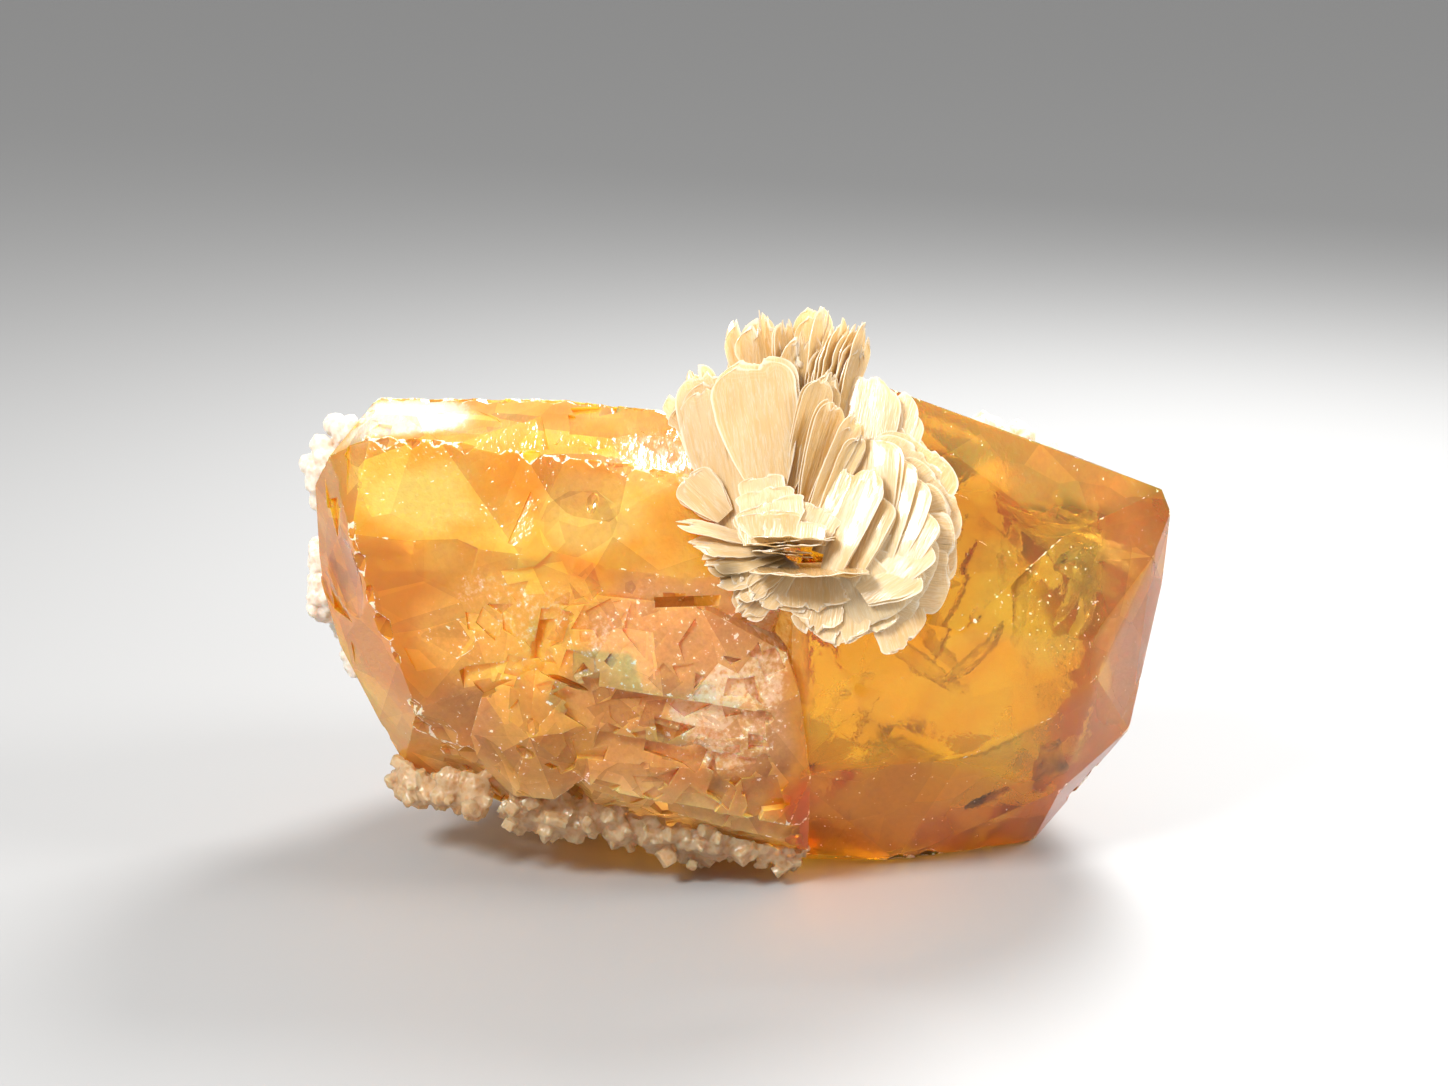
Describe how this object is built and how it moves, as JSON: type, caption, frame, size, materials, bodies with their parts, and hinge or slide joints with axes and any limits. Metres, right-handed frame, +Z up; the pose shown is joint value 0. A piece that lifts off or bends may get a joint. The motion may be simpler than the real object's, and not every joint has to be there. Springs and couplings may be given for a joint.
{
  "type": "mineral specimen",
  "caption": "Orange scheelite crystals grown together, with a rosette of cream muscovite books at the front and patches of white crust. It rests on a natural flat face.",
  "frame": {"origin": "middle of the specimen's footprint, on the surface it stands on", "axes": "+X along the crystals' length, towards the clear orange crystal; -Y to the front with the muscovite rosette; +Z up"},
  "size_m": [0.0619, 0.0378, 0.0404],
  "materials": {
    "scheelite": "glassy, see-through to milky",
    "muscovite": "pearly",
    "crust": "dull"
  },
  "bodies": {
    "root": {"scheelite_crystal": "scheelite", "muscovite_left_leaves": "muscovite", "muscovite_center_book": "muscovite", "muscovite_upright_fan": "muscovite", "muscovite_right_petals": "muscovite", "muscovite_lower_skirt": "muscovite", "white_crust_left_upper": "crust", "white_crust_left_lower": "crust", "white_crust_lower_left": "crust", "white_crust_lower_front": "crust", "white_crust_back": "crust"}
  },
  "joints": []
}
